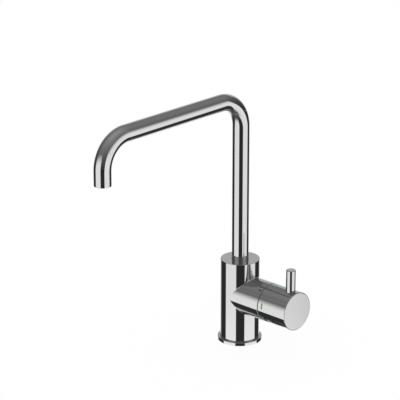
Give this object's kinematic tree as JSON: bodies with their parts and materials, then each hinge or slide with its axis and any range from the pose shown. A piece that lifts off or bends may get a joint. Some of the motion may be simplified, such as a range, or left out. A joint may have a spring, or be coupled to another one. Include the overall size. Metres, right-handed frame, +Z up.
{
  "type": "three-way kitchen tap",
  "caption": "Upright kitchen tap with a square swivel spout and a turning side knob with a lever pin, for hot, cold and filtered water, clamped to a worktop from below.",
  "frame": {"origin": "centre of the tap's base, on the top of the worktop", "axes": "+Z up along the body, the spout points along -Y (front) and the control barrel along +X"},
  "size_m": [0.1104, 0.2473, 0.3687],
  "materials": {
    "chrome": "polished chrome plate",
    "aerator_chrome": "satin chrome plate",
    "brass": "turned",
    "steel": "zinc plated",
    "seal_rubber": "moulded",
    "glide_plastic": "moulded",
    "cartridge_plastic": "moulded",
    "aerator_plastic": "moulded",
    "tube_plastic": "extruded",
    "ceramic": "lapped ceramic",
    "green_enamel": "filled mark",
    "teal_enamel": "filled mark",
    "black_enamel": "filled mark"
  },
  "bodies": {
    "body": {"body_casting": "chrome", "base_ring": "chrome", "deck_gasket": "seal_rubber", "index_mark": "black_enamel", "waterway_block": "brass", "waterway_seal": "seal_rubber", "inlet_foot": "brass", "inlet_o_rings": "seal_rubber", "foot_screws": "steel", "fixing_stud": "steel", "spout_thrust_ring": "glide_plastic", "spout_lock_screw": "steel", "filtered_tube_o_ring": "seal_rubber", "cartridge_base": "cartridge_plastic", "cartridge_port_seals": "seal_rubber", "fixed_ceramic_disc": "ceramic", "cartridge_sleeve": "cartridge_plastic", "cartridge_nut": "brass", "handle_glide_ring": "glide_plastic"},
    "spout": {"spout_tube": "chrome", "spout_bush": "brass", "spout_o_rings": "seal_rubber", "spout_glide_rings": "glide_plastic", "filtered_tube": "tube_plastic", "aerator_housing": "aerator_chrome", "aerator_core": "aerator_plastic", "aerator_gasket": "seal_rubber", "filtered_nozzle": "brass"},
    "handle": {"moving_ceramic_disc": "ceramic", "disc_carrier": "cartridge_plastic", "cartridge_spindle": "brass", "spindle_o_ring": "seal_rubber", "spindle_adapter": "brass", "adapter_screw": "steel", "handle_knob": "chrome", "lever_pin": "chrome", "handle_grub_screw": "steel", "grub_screw_plug": "glide_plastic", "filtered_mark": "green_enamel", "tap_water_mark": "teal_enamel"},
    "clamp": {"clamp_gasket": "seal_rubber", "clamp_plate": "steel", "clamp_nut": "steel"}
  },
  "joints": [
    {"name": "spout_swivel", "type": "hinge", "parent": "body", "child": "spout", "pos_m": [0, 0, 0], "axis": [0, 0, 1], "range_deg": [-75, 75]},
    {"name": "handle_turn", "type": "hinge", "parent": "body", "child": "handle", "pos_m": [0, 0, 0.0559], "axis": [1, 0, 0], "range_deg": [-54, 54]},
    {"name": "clamp_slide", "type": "slide", "parent": "body", "child": "clamp", "axis": [0, 0, 1], "range_m": [-0.02, 0.018]}
  ]
}
